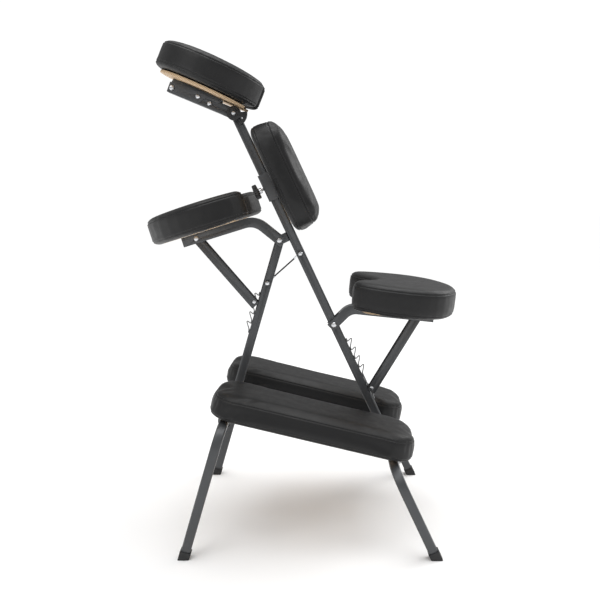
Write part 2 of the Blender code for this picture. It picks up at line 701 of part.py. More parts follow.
# ---------------------------------------------------------------- chest pad
def chest(pivot, knob_pivot):
    clearance = 0.0008
    wall = 0.003
    size = TUBE + 2 * clearance + 2 * wall
    low, high = SLEEVE_UP - SLEEVE_LENGTH / 2, SLEEVE_UP + SLEEVE_LENGTH / 2
    sleeve = square_tube("chest_sleeve", [(0.0, low), (0.0, high)], REAR_FRAME @ YZ_PLANE,
                         size, wall)
    across = Matrix.Rotation(math.pi / 2, 4, "Y")
    hole = REAR_FRAME @ Vector((-size / 2, 0.0, SLEEVE_UP))
    spin = REAR_FRAME.to_3x3().to_4x4() @ across
    cut(sleeve, drill_cutter(hole, 0.0035 + HOLE_EXTRA, spin, length=0.016))
    finish(sleeve, coated_steel(), pivot)
    plate_x = size / 2 + GAP
    plate_thick = CHEST_OFFSET - plate_x - GAP
    seat_plate = slab("chest_plate", rounded(box_outline(0.110, 0.070, 0.008), steps=3),
                      plate_thick, 0.0,
                      CHEST_FRAME @ Matrix.Translation((0, 0, -plate_thick - GAP)))
    finish(seat_plate, coated_steel(), pivot)
    for name, x in (("chest_screw_upper", -0.043), ("chest_screw_lower", 0.043)):
        screw(name, CHEST_FRAME @ Matrix.Translation((x, -0.026, -plate_thick - GAP)), pivot)
    outline = rounded(box_outline(0.272, 0.300, 0.058), steps=6)
    board = rounded(box_outline(0.272 - 2 * BOARD_INSET, 0.300 - 2 * BOARD_INSET, 0.033), steps=4)
    pad_with_board("chest", outline, board, 0.070, 0.018, CHEST_FRAME, pivot)
    clamp_knob(size, knob_pivot)


def screw(name, frame, pivot):
    """Countersunk head lying on a plate, seen from below."""
    profile = [(0.0, -GAP), (0.0040, -GAP), (0.0046, -0.0012), (0.0030, -0.0024), (0.0, -0.0027)]
    return finish(turned(name, profile, frame, steps=12), zinc(), pivot)


def clamp_knob(size, pivot):
    """Five-lobed knob on a threaded stud that presses on the post through the sleeve."""
    face = REAR_FRAME @ Matrix.Translation((-size / 2, 0.0, SLEEVE_UP))
    outward = face @ Matrix.Rotation(-math.pi / 2, 4, "Y")
    lobes, radius, depth = 5, 0.0175, 0.0030
    outline = [Vector((math.cos(a), math.sin(a))) * (radius + depth * math.cos(lobes * a))
               for a in (2 * math.pi * i / 40 for i in range(40))]
    knob = slab("clamp_knob", outline, 0.012, 0.0025, outward @ Matrix.Translation((0, 0, 0.014)))
    bore = outward @ Vector((0, 0, 0.016))
    cut(knob, drill_cutter(bore, 0.0035 + GAP, outward.to_3x3().to_4x4(), length=0.012))
    finish(knob, black_plastic(), pivot)
    wall_depth = size / 2 - TUBE / 2 - GAP
    profile = [(0.0, 0.0215), (0.0035, 0.0215), (0.0035, 0.0135), (0.0075, 0.0135),
               (0.0075, 0.0060), (0.0035, 0.0060), (0.0035, -wall_depth), (0.0, -wall_depth)]
    stud = turned("clamp_stud", profile, outward)
    finish(stud, zinc(), pivot)


# ---------------------------------------------------------------- face cradle
def cradle(arm_pivot, lever_pivot, tilt_pivot):
    inner = RAIL_WIDTH / 2 - SHEET
    deep = 0.025
    axis = (TILT_PIVOT - CRADLE_PIVOT).normalized()
    tip = CRADLE_PIVOT - axis * 0.012
    end = TILT_PIVOT + axis * 0.010
    arm = channel("cradle_arm", [(end.x, end.z), (tip.x, tip.z)], RAIL_WIDTH, deep, XZ_PLANE, 1)
    clear = Matrix.Translation(CRADLE_PIVOT) @ Matrix.Rotation(math.atan2(axis.z, -axis.x), 4, "Y")
    cut(arm, box_cutter((0.055, 2 * inner, 0.060), clear))
    lock = between(CRADLE_PIVOT, TILT_PIVOT, 0.40)
    for place in (CRADLE_PIVOT, TILT_PIVOT, lock):
        cut(arm, drill_cutter(place, BOLT_R + HOLE_EXTRA))
    finish(arm, coated_steel(), arm_pivot)
    bolt("cradle_arm_bolt", lock, RAIL_WIDTH / 2, arm_pivot, head=0.0060)
    bolt("cradle_tilt_bolt", TILT_PIVOT, 0.0200, arm_pivot, head=0.0065)
    bolt("cradle_clamp_bolt", CRADLE_PIVOT, 0.0305, None, spacer=(0.0113, 0.0142), head=0.0055)
    clamp_lever(lever_pivot)
    face_platform(tilt_pivot)


def arc(radius, start, end, steps):
    """Points on a circle about the origin; the angles are in degrees."""
    angles = (math.radians(between(start, end, step / steps)) for step in range(steps + 1))
    return [Vector((math.cos(a), math.sin(a))) * radius for a in angles]


def clamp_lever(pivot):
    """Round hub on the cradle bolt with a curved finger lever beside it."""
    hub_r, outer_r, inner_r, y_near, y_far = 0.0175, 0.0330, 0.0250, -0.0300, -0.0200
    neck_low, neck_high, finger_end = -26, 8, -62
    outline = (arc(hub_r, neck_high, 360 + neck_low, 22) + arc(inner_r, neck_low, finger_end, 4)
               + arc(outer_r, finger_end, neck_high, 8))
    lever = upright_plate("clamp_lever", outline, y_near, y_far,
                          Matrix.Translation(CRADLE_PIVOT))
    cut(lever, drill_cutter(CRADLE_PIVOT, BOLT_R + HOLE_EXTRA))
    return finish(lever, black_plastic(), pivot)


def face_platform(pivot):
    """Folded bracket under the face board, with two cheeks that pass outside the cradle arm."""
    local = FACE_FRAME.inverted() @ TILT_PIVOT
    inside, sheet = RAIL_WIDTH / 2 + 0.0006, 0.0025
    right = 0.046
    corners = [(local.x - 0.011, local.z - 0.009, 0.007), (-0.004, local.z - 0.010, 0.004),
               (0.010, -0.0130, 0.003), (right, -0.0130, 0.004), (right, -GAP, 0.0),
               (local.x - 0.004, -GAP, 0.0)]
    outline = rounded(corners, steps=4)
    half = inside + sheet
    bracket = upright_plate("cradle_bracket", outline, -half, half, FACE_FRAME)
    hollow = FACE_FRAME @ Matrix.Translation((0.0, 0.0, -GAP - sheet - 0.03))
    cut(bracket, box_cutter((0.30, 2 * inside, 0.06), hollow))
    middle = FACE_FRAME @ Vector((local.x + 0.066, 0.0, local.z + 0.006))
    for place in (TILT_PIVOT, middle):
        cut(bracket, drill_cutter(place, BOLT_R + HOLE_EXTRA))
    finish(bracket, coated_steel(), pivot)
    head = turned("cradle_rivet", [(0.0, half + 0.0030), (0.0055, half + 0.0016),
                                   (0.0055, half + GAP), (BOLT_R, half + GAP),
                                   (BOLT_R, inside - 0.0002), (0.0, inside - 0.0002)],
                  Matrix.Translation(middle) @ Matrix.Rotation(math.pi / 2, 4, "X"))
    finish(head, zinc(), pivot)
    face_cushion(pivot)


def horseshoe(outer_x, outer_y, inner_x, inner_y, slit, slit_spread, steps=30):
    """Ring outline broken by a gap at local +X."""
    start = math.asin(slit / outer_y)
    outer = [Vector((outer_x * math.cos(a), outer_y * math.sin(a)))
             for a in (between(start, 2 * math.pi - start, s / steps) for s in range(steps + 1))]
    start = math.asin(slit_spread / inner_y)
    turns = (between(2 * math.pi - start, start, s / steps) for s in range(steps + 1))
    inner = [Vector((inner_x * math.cos(a) - 0.006, inner_y * math.sin(a))) for a in turns]
    return outer + inner


def face_cushion(pivot):
    board = horseshoe(0.117, 0.112, 0.062, 0.057, 0.040, 0.036)
    finish(slab("face_board", board, 0.006, 0.0, FACE_FRAME), plywood(), pivot)
    band = horseshoe(0.112, 0.107, 0.067, 0.062, 0.044, 0.040)
    finish(slab("hook_band", band, 0.0022, 0.0,
                FACE_FRAME @ Matrix.Translation((0, 0, 0.006 + GAP))), hook_tape(), pivot)
    ring = horseshoe(0.137, 0.134, 0.046, 0.042, 0.016, 0.016)
    lift = 0.006 + GAP + 0.0022 + GAP
    cushion = slab("face_pad", ring, 0.070, 0.016, FACE_FRAME @ Matrix.Translation((0, 0, lift)),
                   edge_steps=3)
    return finish(cushion, upholstery(), pivot)


# ---------------------------------------------------------------- brace cable
def brace_cable(rear, front):
    """Steel cable that stops the frames from spreading, with a crimped eye on each bolt."""
    low = Vector((front_x(BRACE_FRONT_Z), CABLE_Y, BRACE_FRONT_Z))
    high = Vector((rear_x(BRACE_REAR_Z), CABLE_Y, BRACE_REAR_Z))
    run = (high - low).normalized()
    cable_eye("cable_eye_front", low, run, front)
    cable_eye("cable_eye_rear", high, -run, rear)
    span = (high - low).length
    start, end = 0.0225, span - 0.0225
    points = [low + run * between(start, end, s / 8) for s in range(9)]
    finish(rod("brace_cable", points, CABLE_R), cable_cover(), rear)


def cable_eye(name, place, run, pivot):
    """Flat eye round the bolt, drawn into a crimped barrel that grips the cable."""
    eye_r, barrel, length, thick = 0.0065, 0.0029, 0.0222, 0.0030
    turn = math.atan2(run.z, run.x)
    outline = arc(eye_r, 27, 333, 14) + [Vector((length, -barrel)), Vector((length, barrel))]
    frame = Matrix.Translation((place.x, 0.0, place.z)) @ Matrix.Rotation(-turn, 4, "Y")
    eye = upright_plate(name, outline, CABLE_Y - thick, CABLE_Y + thick, frame)
    cut(eye, box_cutter((0.018, 0.004, 0.02),
                        frame @ Matrix.Translation((0.0, CABLE_Y + 0.0020, 0.0))))
    cut(eye, drill_cutter(place, BOLT_R + HOLE_EXTRA))
    return finish(eye, zinc(), pivot)


# ---------------------------------------------------------------- the chair
def build():
    clear_scene()
    fold = pivot_at("pivot_front_fold", APEX)
    arm = pivot_at("pivot_arm_tilt", APEX, fold)
    arm_strut = pivot_at("pivot_arm_strut", STRUT_TOP, arm)
    seat_tilt = pivot_at("pivot_seat_tilt", SEAT_PIVOT)
    seat_strut = pivot_at("pivot_seat_strut", SEAT_STRUT_TOP, seat_tilt)
    knees = [pivot_at(f"pivot_knee_{side}", FRONT_BAR, fold) for side in ("left", "right")]
    slide = pivot_at("pivot_chest_slide", REAR_FRAME @ Vector((0, 0, SLEEVE_UP)))
    knob = pivot_at("pivot_clamp_knob", REAR_FRAME @ Vector((0, 0, SLEEVE_UP)), slide)
    cradle_arm = pivot_at("pivot_cradle", CRADLE_PIVOT)
    lever = pivot_at("pivot_clamp_lever", CRADLE_PIVOT, cradle_arm)
    platform = pivot_at("pivot_face_tilt", TILT_PIVOT, cradle_arm)

    rear_frame(None)
    front_frame(fold)
    hinge_bracket(None)
    racks(None, fold)
    arm_rest(arm, arm_strut)
    seat(seat_tilt, seat_strut)
    knee_pads(knees)
    chest(slide, knob)
    cradle(cradle_arm, lever, platform)
    brace_cable(None, fold)


build()
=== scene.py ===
"""Looks of a kneeling massage chair: padded covers, coated steel, zinc, wood, plastic and rubber."""
import json
import math

import bmesh
import bpy
import numpy as np
from mathutils import Matrix, Vector
from mathutils.bvhtree import BVHTree


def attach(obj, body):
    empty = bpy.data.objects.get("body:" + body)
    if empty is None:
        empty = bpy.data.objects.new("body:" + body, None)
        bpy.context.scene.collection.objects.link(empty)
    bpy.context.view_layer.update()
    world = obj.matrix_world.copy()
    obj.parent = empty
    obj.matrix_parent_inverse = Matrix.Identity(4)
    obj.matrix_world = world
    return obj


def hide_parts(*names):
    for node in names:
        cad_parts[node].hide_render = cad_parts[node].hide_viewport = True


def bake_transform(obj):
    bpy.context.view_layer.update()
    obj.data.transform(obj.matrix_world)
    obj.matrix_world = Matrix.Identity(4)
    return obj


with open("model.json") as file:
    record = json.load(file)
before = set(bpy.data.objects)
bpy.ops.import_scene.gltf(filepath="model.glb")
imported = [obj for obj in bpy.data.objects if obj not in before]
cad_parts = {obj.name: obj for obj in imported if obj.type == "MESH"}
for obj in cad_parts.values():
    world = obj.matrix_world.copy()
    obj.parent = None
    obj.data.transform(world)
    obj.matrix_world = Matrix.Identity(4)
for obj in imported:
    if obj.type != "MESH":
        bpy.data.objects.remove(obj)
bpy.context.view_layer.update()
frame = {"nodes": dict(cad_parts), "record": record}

nodes = frame["nodes"]
body_of = {node: body for body, members in frame["record"]["behaviour"]["bodies"].items()
           for node in members}

# the slopes of the pads about the chair's width, as the frame carries them
KNEE_SLOPE = math.radians(13.7)
SEAT_SLOPE = math.radians(6.0)
ARM_SLOPE = math.radians(-17.2)
CHEST_SLOPE = math.radians(65.0)
FACE_SLOPE = math.radians(23.4)

FOAM_CELL = 0.005                 # spacing of the cover's mesh before it is subdivided
THREAD = 0.00035

POST_FACE = 0.011                 # from a post's centre line to its face
REAR_POST = Matrix.Translation((0.3123, 0.0, 0.0)) @ Matrix.Rotation(math.radians(-25.0), 4, "Y")
FRONT_POST = Matrix.Translation((-0.2817, 0.0, 0.0)) @ Matrix.Rotation(math.radians(16.5), 4, "Y")
SEAT_WELDS = (0.5130, 0.4875, 0.4620, 0.4365, 0.4110, 0.3685, 0.3420)
ARM_WELDS = (0.6130, 0.5875, 0.5620, 0.5365, 0.5110)
CABLE_RADIUS = 0.0020


# ---------------------------------------------------------------- operators
def only(piece):
    """Make one piece the active and only selected object."""
    if bpy.context.object and bpy.context.object.mode != "OBJECT":
        bpy.ops.object.mode_set(mode="OBJECT")
    bpy.ops.object.select_all(action="DESELECT")
    piece.select_set(True)
    bpy.context.view_layer.objects.active = piece
    return piece


def baked(piece, kind, name="shape", **settings):
    """Add a modifier with these settings and apply it."""
    only(piece)
    modifier = piece.modifiers.new(name, kind)
    for key, value in settings.items():
        setattr(modifier, key, value)
    bpy.ops.object.modifier_apply(modifier=name)
    return piece


def smooth(piece, angle=35):
    only(piece)
    bpy.ops.object.shade_smooth_by_angle(angle=math.radians(angle))
    return piece


def copy_of(node, name):
    """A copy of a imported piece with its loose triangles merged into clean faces."""
    piece = bpy.data.objects.new(name, nodes[node].data.copy())
    bpy.context.scene.collection.objects.link(piece)
    only(piece)
    if piece.data.has_custom_normals:
        bpy.ops.mesh.customdata_custom_splitnormals_clear()
    bpy.ops.object.mode_set(mode="EDIT")
    bpy.ops.mesh.select_all(action="SELECT")
    bpy.ops.mesh.remove_doubles(threshold=0.00003)
    bpy.ops.mesh.dissolve_limited(angle_limit=math.radians(0.8))
    bpy.ops.object.mode_set(mode="OBJECT")
    return piece


def place(piece, material, body, slot, *replaced):
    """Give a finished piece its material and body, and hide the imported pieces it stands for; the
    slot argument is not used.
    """
    piece.data.materials.clear()
    piece.data.materials.append(material)
    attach(piece, body)
    if replaced:
        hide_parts(*replaced)
    return piece


# ---------------------------------------------------------------- materials
class Finish:
    """A material under construction: its shader, and the places its patterns are read from."""

    def __init__(self, name, colour, roughness, metallic=0.0, specular=0.5):
        self.material = bpy.data.materials.new(name)
        self.material.use_nodes = True
        self.tree = self.material.node_tree
        self.shader = self.tree.nodes["Principled BSDF"]
        self.colour = colour
        self.shader.inputs["Base Color"].default_value = (*colour, 1.0)
        self.shader.inputs["Roughness"].default_value = roughness
        self.shader.inputs["Metallic"].default_value = metallic
        self.shader.inputs["Specular IOR Level"].default_value = specular
        self.where = self.add("ShaderNodeTexCoord").outputs["Object"]
        self.normal = None

    def add(self, kind, **settings):
        node = self.tree.nodes.new(kind)
        for key, value in settings.items():
            setattr(node, key, value)
        return node

    def link(self, source, target):
        self.tree.links.new(source, target)

    def stretched(self, scale, turn=(0.0, 0.0, 0.0)):
        """Coordinates turned and scaled, for grain that runs one way."""
        mapping = self.add("ShaderNodeMapping")
        mapping.inputs["Rotation"].default_value = turn
        mapping.inputs["Scale"].default_value = scale
        self.link(self.where, mapping.inputs["Vector"])
        return mapping.outputs["Vector"]

    def noise(self, scale, detail=4.0, where=None):
        node = self.add("ShaderNodeTexNoise")
        node.inputs["Scale"].default_value = scale
        node.inputs["Detail"].default_value = detail
        self.link(where or self.where, node.inputs["Vector"])
        return node.outputs["Fac"]

    def cells(self, scale, feature="DISTANCE_TO_EDGE"):
        node = self.add("ShaderNodeTexVoronoi", feature=feature)
        node.inputs["Scale"].default_value = scale
        self.link(self.where, node.inputs["Vector"])
        return node.outputs["Distance"]

    def ranged(self, source, low, high, start=0.3, end=0.7):
        node = self.add("ShaderNodeMapRange")
        for key, value in (("From Min", start), ("From Max", end), ("To Min", low),
                           ("To Max", high)):
            node.inputs[key].default_value = value
        self.link(source, node.inputs["Value"])
        return node.outputs["Result"]

    def tint(self, factor, first, second):
        """Base colour that runs from first to second as the factor rises."""
        ramp = self.add("ShaderNodeValToRGB")
        ramp.color_ramp.elements[0].color = (*first, 1.0)
        ramp.color_ramp.elements[1].color = (*second, 1.0)
        ramp.color_ramp.elements[0].position = 0.3
        ramp.color_ramp.elements[1].position = 0.7
        self.link(factor, ramp.inputs["Fac"])
        self.link(ramp.outputs["Color"], self.shader.inputs["Base Color"])
        return ramp

    def sheen_of(self, factor, low, high):
        """Roughness that wanders between low and high."""
        self.link(self.ranged(factor, low, high), self.shader.inputs["Roughness"])

    def relief(self, height, depth, strength=1.0):
        """Stack a bump on those before it; depth in metres."""
        bump = self.add("ShaderNodeBump")
        bump.inputs["Distance"].default_value = depth
        bump.inputs["Strength"].default_value = strength
        self.link(height, bump.inputs["Height"])
        if self.normal:
            self.link(self.normal, bump.inputs["Normal"])
        self.normal = bump.outputs["Normal"]
        self.link(self.normal, self.shader.inputs["Normal"])


def shaded(colour, factor):
    return tuple(channel * factor for channel in colour)


def black_leather():
    """Satin imitation leather: fine pebbled grain over slow, shallow waves."""
    finish = Finish("black_leather", (0.0088, 0.0088, 0.0092), 0.46, specular=0.34)
    finish.tint(finish.noise(14.0), shaded(finish.colour, 0.88), shaded(finish.colour, 1.14))
    finish.sheen_of(finish.noise(55.0), 0.42, 0.52)
    finish.relief(finish.noise(20.0, 2.0), 0.0008, 0.3)
    finish.relief(finish.cells(820.0), 0.00022, 0.55)
    finish.relief(finish.noise(2400.0, 2.0), 0.00008, 0.4)
    return finish.material


def coated_steel():
    """Powder coat: even dark grey with the coat's fine orange peel."""
    finish = Finish("powder_coated_steel", (0.070, 0.073, 0.077), 0.36, 0.35)
    finish.tint(finish.noise(9.0), shaded(finish.colour, 0.92), shaded(finish.colour, 1.1))
    finish.sheen_of(finish.noise(120.0), 0.32, 0.42)
    finish.relief(finish.noise(900.0, 3.0), 0.00005, 0.6)
    return finish.material


def zinc_plate():
    """Bright zinc with a faint turning grain and dull patches."""
    finish = Finish("zinc_plate", (0.70, 0.71, 0.73), 0.26, 1.0)
    finish.tint(finish.noise(160.0), shaded(finish.colour, 0.85), shaded(finish.colour, 1.1))
    finish.sheen_of(finish.noise(300.0), 0.2, 0.36)
    finish.relief(finish.noise(1500.0, 2.0), 0.00003, 0.5)
    return finish.material


def dull_wire():
    """Drawn wire: duller than the plated bolts, with fine marks along it."""
    finish = Finish("dull_zinc_wire", (0.36, 0.365, 0.37), 0.4, 0.85)
    finish.tint(finish.noise(220.0), shaded(finish.colour, 0.8), shaded(finish.colour, 1.1))
    finish.sheen_of(finish.noise(400.0), 0.34, 0.5)
    finish.relief(finish.noise(1200.0, 2.0), 0.00004, 0.5)
    return finish.material


def cable_sleeve():
    """Soft black sleeve over a stranded cable, slightly dusty."""
    finish = Finish("cable_sleeve", (0.019, 0.019, 0.020), 0.42)
    finish.tint(finish.noise(90.0), shaded(finish.colour, 0.8), shaded(finish.colour, 1.4))
    finish.sheen_of(finish.noise(260.0), 0.36, 0.52)
    finish.relief(finish.noise(1600.0, 2.0), 0.00004, 0.5)
    return finish.material


def black_plastic():
    finish = Finish("moulded_black_plastic", (0.016, 0.016, 0.017), 0.38)
    finish.sheen_of(finish.noise(90.0), 0.33, 0.45)
    finish.relief(finish.noise(1800.0, 2.0), 0.00004, 0.6)
    return finish.material


def black_rubber():
    finish = Finish("black_rubber", (0.022, 0.022, 0.023), 0.75)
    finish.tint(finish.noise(70.0), shaded(finish.colour, 0.8), shaded(finish.colour, 1.5))
    finish.sheen_of(finish.noise(140.0), 0.68, 0.85)
    finish.relief(finish.noise(700.0, 3.0), 0.0001, 0.5)
    return finish.material


def hook_tape():
    """Hook and loop tape: a dull nap of tiny hooks."""
    finish = Finish("hook_tape", (0.010, 0.010, 0.011), 0.95, specular=0.2)
    finish.relief(finish.cells(1400.0, "F1"), 0.0004, 0.9)
    finish.relief(finish.noise(3000.0, 2.0), 0.0002, 0.6)
    return finish.material


def plywood(name, slope):
    """Birch plywood: long grain on the faces, thin dark and light layers on the edges."""
    finish = Finish(name, (0.66, 0.47, 0.28), 0.5)
    flat = finish.stretched((14.0, 140.0, 14.0), (0.0, slope, 0.0))
    grain = finish.noise(1.6, 6.0, flat)
    face = finish.tint(grain, (0.50, 0.33, 0.18), (0.72, 0.52, 0.32))
    layers = finish.add("ShaderNodeTexWave", bands_direction="Z")
    layers.inputs["Scale"].default_value = 105.0
    layers.inputs["Distortion"].default_value = 0.4
    finish.link(finish.stretched((1.0, 1.0, 1.0), (0.0, slope, 0.0)), layers.inputs["Vector"])
    edge = finish.add("ShaderNodeValToRGB")
    edge.color_ramp.elements[0].color = (0.30, 0.17, 0.08, 1.0)
    edge.color_ramp.elements[1].color = (0.74, 0.55, 0.34, 1.0)
    edge.color_ramp.elements[0].position = 0.25
    edge.color_ramp.elements[1].position = 0.5
    finish.link(layers.outputs["Fac"], edge.inputs["Fac"])
    facing = finish.add("ShaderNodeVectorMath", operation="DOT_PRODUCT")
    facing.inputs[1].default_value = (math.sin(slope), 0.0, math.cos(slope))
    finish.link(finish.add("ShaderNodeTexCoord").outputs["Normal"], facing.inputs[0])
    flatness = finish.add("ShaderNodeMath", operation="ABSOLUTE")
    finish.link(facing.outputs["Value"], flatness.inputs[0])
    mix = finish.add("ShaderNodeMix", data_type="RGBA")
    finish.link(finish.ranged(flatness.outputs["Value"], 0.0, 1.0, 0.5, 0.8), mix.inputs["Factor"])
    finish.link(edge.outputs["Color"], mix.inputs["A"])
    finish.link(face.outputs["Color"], mix.inputs["B"])
    finish.link(mix.outputs["Result"], finish.shader.inputs["Base Color"])
    finish.sheen_of(grain, 0.42, 0.6)
    finish.relief(grain, 0.0002, 0.5)
    return finish.material


LEATHER = black_leather()
STEEL = coated_steel()
ZINC = zinc_plate()
PLASTIC = black_plastic()
RUBBER = black_rubber()
TAPE = hook_tape()
THREAD_BLACK = black_plastic()
WIRE = dull_wire()
SLEEVE = cable_sleeve()


# ---------------------------------------------------------------- metal, wood, plastic and rubber
def dressed(node, material, slot, easing=0.0005, segments=2, angle=30):
    """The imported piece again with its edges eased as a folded, moulded or sanded edge is."""
    piece = copy_of(node, node + "_finished")
    baked(piece, "BEVEL", width=easing, segments=segments, limit_method="ANGLE",
          angle_limit=math.radians(angle), use_clamp_overlap=True)
    smooth(piece, 40)
    return place(piece, material, body_of[node], slot, node)


def frame_pieces():
    for node in ("rear_leg_frame", "front_leg_frame", "rear_post", "front_post", "arm_rail",
                 "seat_rail", "arm_strut", "seat_strut", "hinge_bracket", "chest_sleeve",
                 "chest_plate", "cradle_arm", "cradle_bracket", "knee_saddle_left",
                 "knee_saddle_right", "knee_hook_left", "knee_hook_right"):
        dressed(node, STEEL, "coated_steel")
    for node in ("rear_foot_left", "rear_foot_right", "front_foot_left", "front_foot_right"):
        dressed(node, RUBBER, "rubber", easing=0.0012, segments=3)
    for node in ("clamp_knob", "clamp_lever"):
        dressed(node, PLASTIC, "black_plastic", easing=0.0010, segments=3)
    for node, slope in (("arm_board", ARM_SLOPE), ("seat_board", SEAT_SLOPE),
                        ("knee_left_board", KNEE_SLOPE), ("knee_right_board", KNEE_SLOPE),
                        ("chest_board", CHEST_SLOPE), ("face_board", FACE_SLOPE)):
        dressed(node, plywood(node + "_wood", slope), "plywood", easing=0.0006)
    for node in ("apex_bolt", "seat_pivot_bolt", "arm_strut_bolt", "seat_strut_bolt",
                 "brace_bolt_rear", "brace_bolt_front", "cradle_arm_bolt", "cradle_tilt_bolt",
                 "cradle_clamp_bolt", "cradle_rivet", "chest_screw_upper", "chest_screw_lower",
                 "clamp_stud", "arm_strut_pin", "seat_strut_pin", "cable_eye_front",
                 "cable_eye_rear"):
        dressed(node, ZINC, "zinc", easing=0.0003)
    dressed("hook_band", TAPE, "hook_tape", easing=0.0004)
    for node in ("arm_rack", "seat_rack"):
        wire = copy_of(node, node + "_wire")
        baked(wire, "SUBSURF", levels=1, render_levels=1)
        smooth(wire, 60)
        place(wire, WIRE, body_of[node], "zinc", node)


def weld_bead():
    """One lumpy bead, longest along local Z."""
    bpy.ops.mesh.primitive_ico_sphere_add(subdivisions=3, radius=1.0)
    bead = bpy.context.object
    bead.name = "bead"
    for vertex in bead.data.vertices:
        ripple = 1.0 + 0.10 * math.sin(9.0 * vertex.co.z) * (1.0 - vertex.co.z ** 2)
        vertex.co = Vector((0.0016 * vertex.co.x * ripple, 0.0024 * vertex.co.y * ripple,
                            0.0046 * vertex.co.z))
    return bead


def joined(pieces, name):
    bpy.ops.object.select_all(action="DESELECT")
    for piece in pieces:
        piece.select_set(True)
    bpy.context.view_layer.objects.active = pieces[0]
    bpy.ops.object.join()
    pieces[0].name = name
    return pieces[0]


def rack_welds(bead, name, post, face, heights, body):
    """A bead on each side of the wire wherever it lies against the post."""
    beads = []
    for number, up in enumerate(heights):
        for side in (-1.0, 1.0):
            copy = bpy.data.objects.new(f"{name}_{number}_{side:+.0f}", bead.data.copy())
            bpy.context.scene.collection.objects.link(copy)
            copy.data.transform(post @ Matrix.Translation((face, side * 0.0021, up)))
            beads.append(copy)
    place(smooth(joined(beads, name), 60), STEEL, body, "coated_steel")


def welds():
    bead = weld_bead()
    rack_welds(bead, "arm_rack_welds", FRONT_POST, -POST_FACE, ARM_WELDS, "front_frame")
    rack_welds(bead, "seat_rack_welds", REAR_POST, POST_FACE, SEAT_WELDS, "rear_frame")
    bpy.data.objects.remove(bead)


def stay_cable():
    """Sleeved cable whose strands show as shallow twisted ridges."""
    points = [v.co.copy() for v in nodes["brace_cable"].data.vertices]
    ends = []
    for sign, limit in ((1.0, min(p.z for p in points)), (-1.0, max(p.z for p in points))):
        ring = [p for p in points if sign * (p.z - limit) < 0.0033]
        ends.append(sum(ring, Vector()) / len(ring))
    low, high = ends
    run = high - low
    turn = run.to_track_quat("Z", "Y").to_matrix().to_4x4()
    around, rows, strands = 36, 120, 6
    shape = bmesh.new()
    rings = []
    for row in range(rows + 1):
        ring = []
        for step in range(around):
            angle = 2 * math.pi * step / around
            ridge = abs(math.cos(strands / 2 * (angle - 14.0 * row / rows)))
            radius = CABLE_RADIUS * (0.90 + 0.10 * ridge)
            ring.append(shape.verts.new((radius * math.cos(angle), radius * math.sin(angle),
                                         run.length * row / rows)))
        rings.append(ring)
    for first, second in zip(rings, rings[1:]):
        for step in range(around):
            after = (step + 1) % around
            shape.faces.new((first[step], first[after], second[after], second[step]))
    shape.faces.new(rings[0][::-1])
    shape.faces.new(rings[-1])
    mesh = bpy.data.meshes.new("stay_cable")
    shape.to_mesh(mesh)
    shape.free()
    cable = bpy.data.objects.new("stay_cable", mesh)
    bpy.context.scene.collection.objects.link(cable)
    mesh.transform(Matrix.Translation(low) @ turn)
    mesh.materials.append(SLEEVE)
    smooth(cable, 60)
    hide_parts("brace_cable")
    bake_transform(cable)


# ---------------------------------------------------------------- padded covers
def pad_frame(node, slope):
    """The pad's own frame: origin under its middle, local Z out of the board, local X downhill."""
    turn = Matrix.Rotation(slope, 4, "Y")
    flat = np.array([turn.inverted() @ v.co for v in nodes[node].data.vertices])
    low, high = flat.min(0), flat.max(0)
    return turn @ Matrix.Translation(((low[0] + high[0]) / 2, (low[1] + high[1]) / 2, low[2]))


def drawn_in(piece, amount, keep_below):
    """Pull the cover inwards, except where it lies on its board."""
    mesh = piece.data
    for vertex, normal in zip(mesh.vertices, [n.vector.copy() for n in mesh.vertex_normals]):
        if vertex.co.z > keep_below:
            vertex.co -= normal * amount


def swollen(piece, held_below, swell, pressure):
    """Let the foam push the cover out by cloth simulation; no point moves further than swell."""
    mesh = piece.data
    held = piece.vertex_groups.new(name="held")
    held.add([v.index for v in mesh.vertices if v.co.z < held_below], 1.0, "REPLACE")
    cloth = piece.modifiers.new("cover", "CLOTH")
    settings = cloth.settings
    settings.quality = 4
    settings.mass = 0.3
    settings.tension_stiffness = settings.compression_stiffness = 12.0
    settings.shear_stiffness = 6.0
    settings.bending_stiffness = 1.5
    settings.use_pressure = True
    settings.uniform_pressure_force = pressure
    settings.effector_weights.gravity = 0.0
    settings.vertex_group_mass = "held"
    cloth.collision_settings.use_collision = False
    cloth.point_cache.frame_start = 1
    cloth.point_cache.frame_end = 20
    for step in range(1, 21):
        bpy.context.scene.frame_set(step)
    evaluated = piece.evaluated_get(bpy.context.evaluated_depsgraph_get())
    moved = [v.co.copy() for v in evaluated.data.vertices]
    bpy.context.scene.frame_set(1)
    piece.modifiers.remove(cloth)
    piece.vertex_groups.remove(held)
    for vertex, target in zip(mesh.vertices, moved):
        push = target - vertex.co
        if push.length > 1e-7:
            vertex.co += push.normalized() * swell * math.tanh(push.length / swell)


def foam_cover(node, slope, name, swell, pressure=4.0, drawn=0.0025, held_below=0.012):
    """Cushion cover in its own frame: remeshed, swollen and subdivided."""
    own = pad_frame(node, slope)
    piece = copy_of(node, name)
    piece.data.transform(own.inverted())
    drawn_in(piece, drawn, held_below)
    baked(piece, "REMESH", mode="VOXEL", voxel_size=FOAM_CELL)
    swollen(piece, held_below * 0.8, swell, pressure)
    baked(piece, "SMOOTH", factor=0.5, iterations=3)
    baked(piece, "SUBSURF", levels=1, render_levels=1)
    return piece, own


